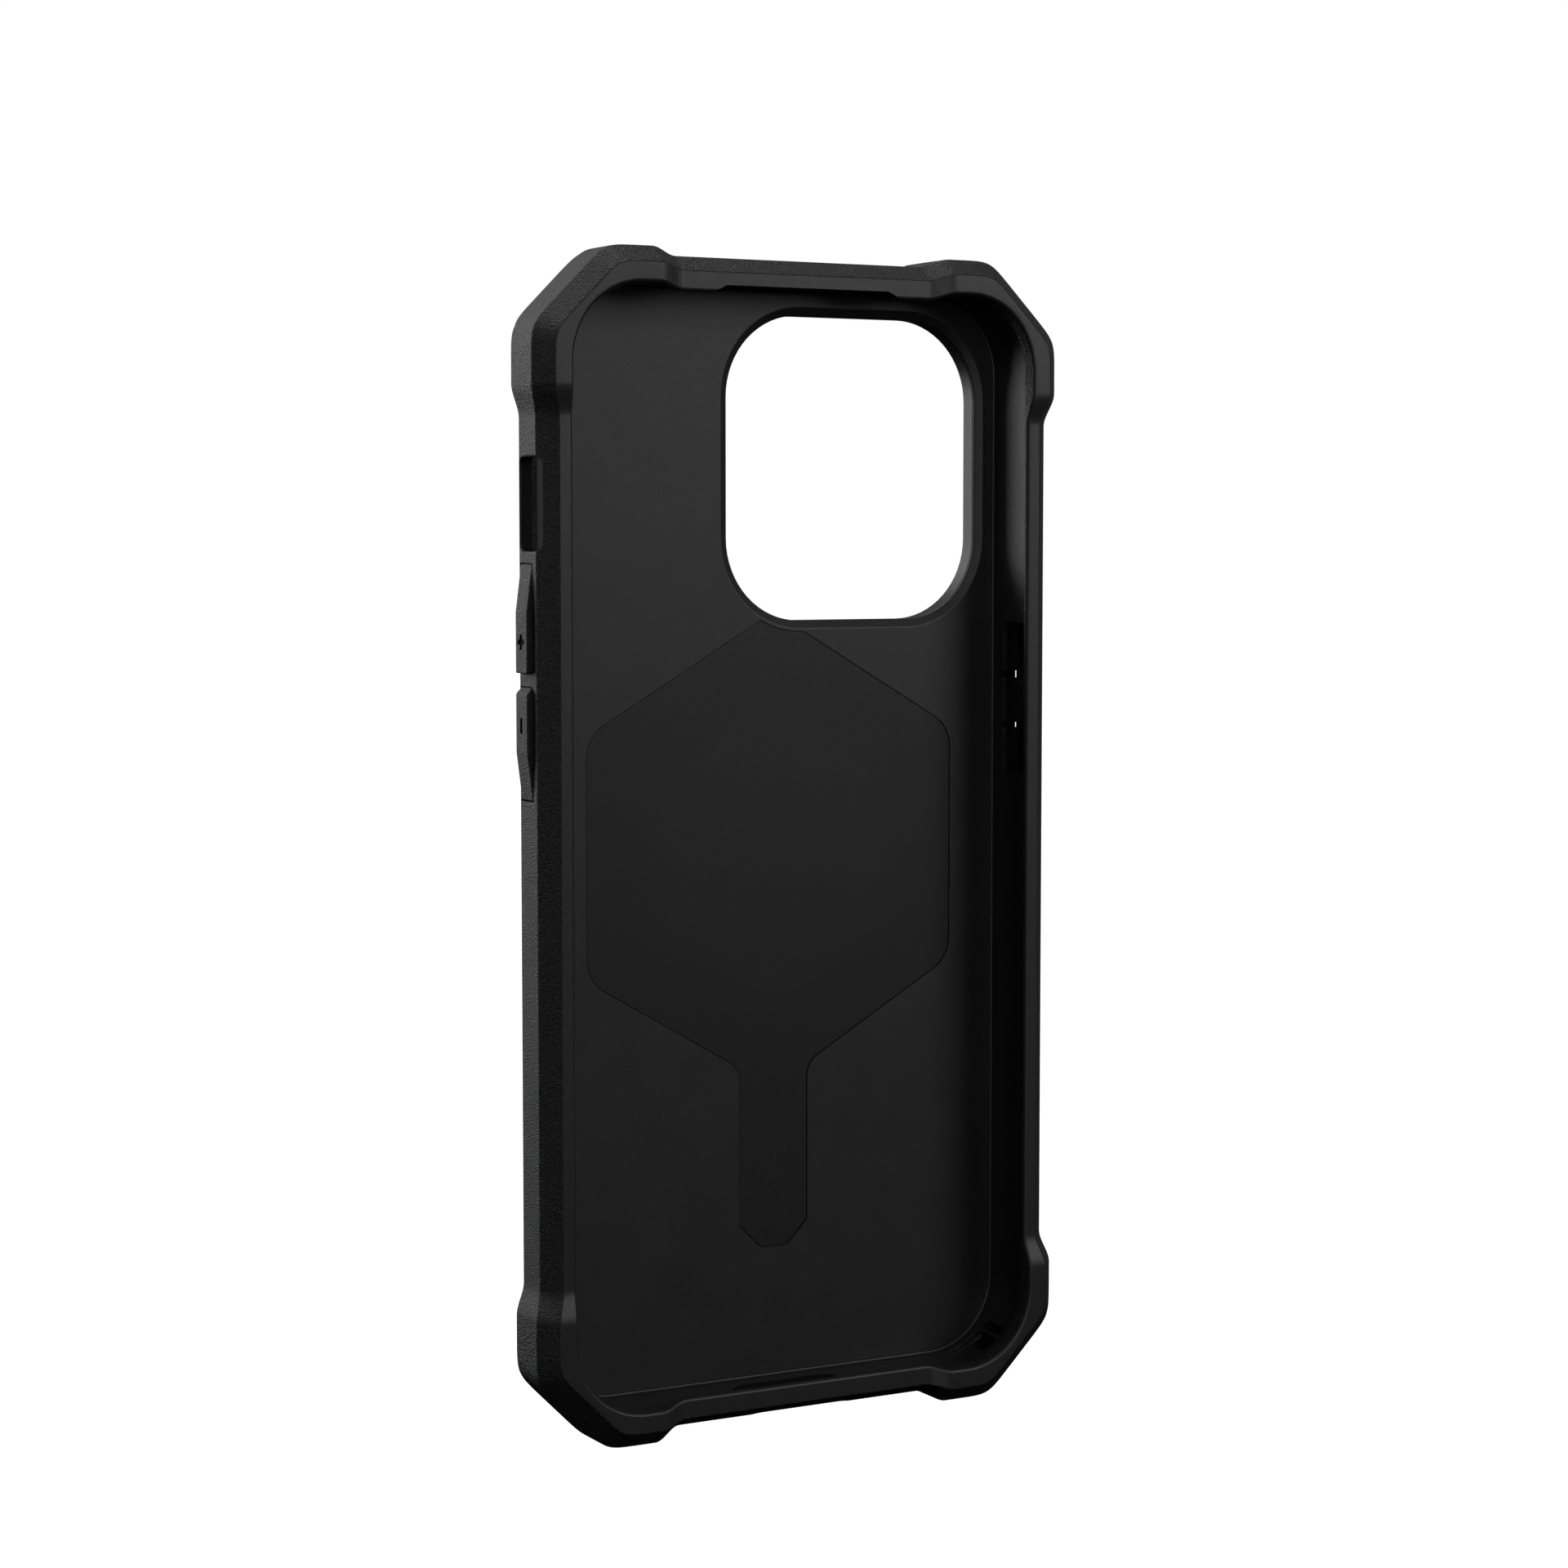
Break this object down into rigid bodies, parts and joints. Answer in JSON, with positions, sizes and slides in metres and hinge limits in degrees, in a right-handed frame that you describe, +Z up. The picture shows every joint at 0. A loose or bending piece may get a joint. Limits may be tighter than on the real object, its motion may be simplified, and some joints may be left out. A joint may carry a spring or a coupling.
{
  "type": "rugged phone case",
  "caption": "Rugged phone case with raised corner bumpers, a camera opening, pressable side buttons and a magnetic ring under a hexagonal cover.",
  "frame": {"origin": "on the surface that the two bottom corner bumpers stand on, in the middle of the case's width and depth", "axes": "+X to the right and +Z up as seen from the open screen side, +Y out of the back"},
  "size_m": [0.079, 0.0144, 0.1562],
  "materials": {
    "soft_frame": "matt, fine spark-eroded grain on the outer faces, satin on the lip",
    "soft_liner": "smooth satin",
    "hard_shell": "matt, fine grain",
    "cover_film": "smooth satin",
    "soft_button": "matt, fine grain",
    "magnet": "bright nickel plate",
    "steel": "rolled sheet"
  },
  "bodies": {
    "case": {"bumper_frame": "soft_frame", "floor_liner": "soft_liner", "back_shell": "hard_shell", "camera_bezel": "hard_shell", "magnet_cover": "cover_film", "magnet_shield_ring": "steel", "alignment_magnet": "magnet", "ring_magnet_01": "magnet", "ring_magnet_02": "magnet", "ring_magnet_03": "magnet", "ring_magnet_04": "magnet", "ring_magnet_05": "magnet", "ring_magnet_06": "magnet", "ring_magnet_07": "magnet", "ring_magnet_08": "magnet", "ring_magnet_09": "magnet", "ring_magnet_10": "magnet", "ring_magnet_11": "magnet", "ring_magnet_12": "magnet", "ring_magnet_13": "magnet", "ring_magnet_14": "magnet", "ring_magnet_15": "magnet", "ring_magnet_16": "magnet", "ring_magnet_17": "magnet", "ring_magnet_18": "magnet"},
    "volume_up": {"volume_up_button": "soft_button"},
    "volume_down": {"volume_down_button": "soft_button"},
    "power": {"power_button": "soft_button"}
  },
  "joints": [
    {"name": "volume_up_press", "type": "slide", "parent": "case", "child": "volume_up", "axis": [1, 0, 0], "range_m": [0, 0.0004], "stiffness_N_per_m": 4000},
    {"name": "volume_down_press", "type": "slide", "parent": "case", "child": "volume_down", "axis": [1, 0, 0], "range_m": [0, 0.0004], "stiffness_N_per_m": 4000},
    {"name": "power_press", "type": "slide", "parent": "case", "child": "power", "axis": [-1, 0, 0], "range_m": [0, 0.0004], "stiffness_N_per_m": 4000}
  ]
}
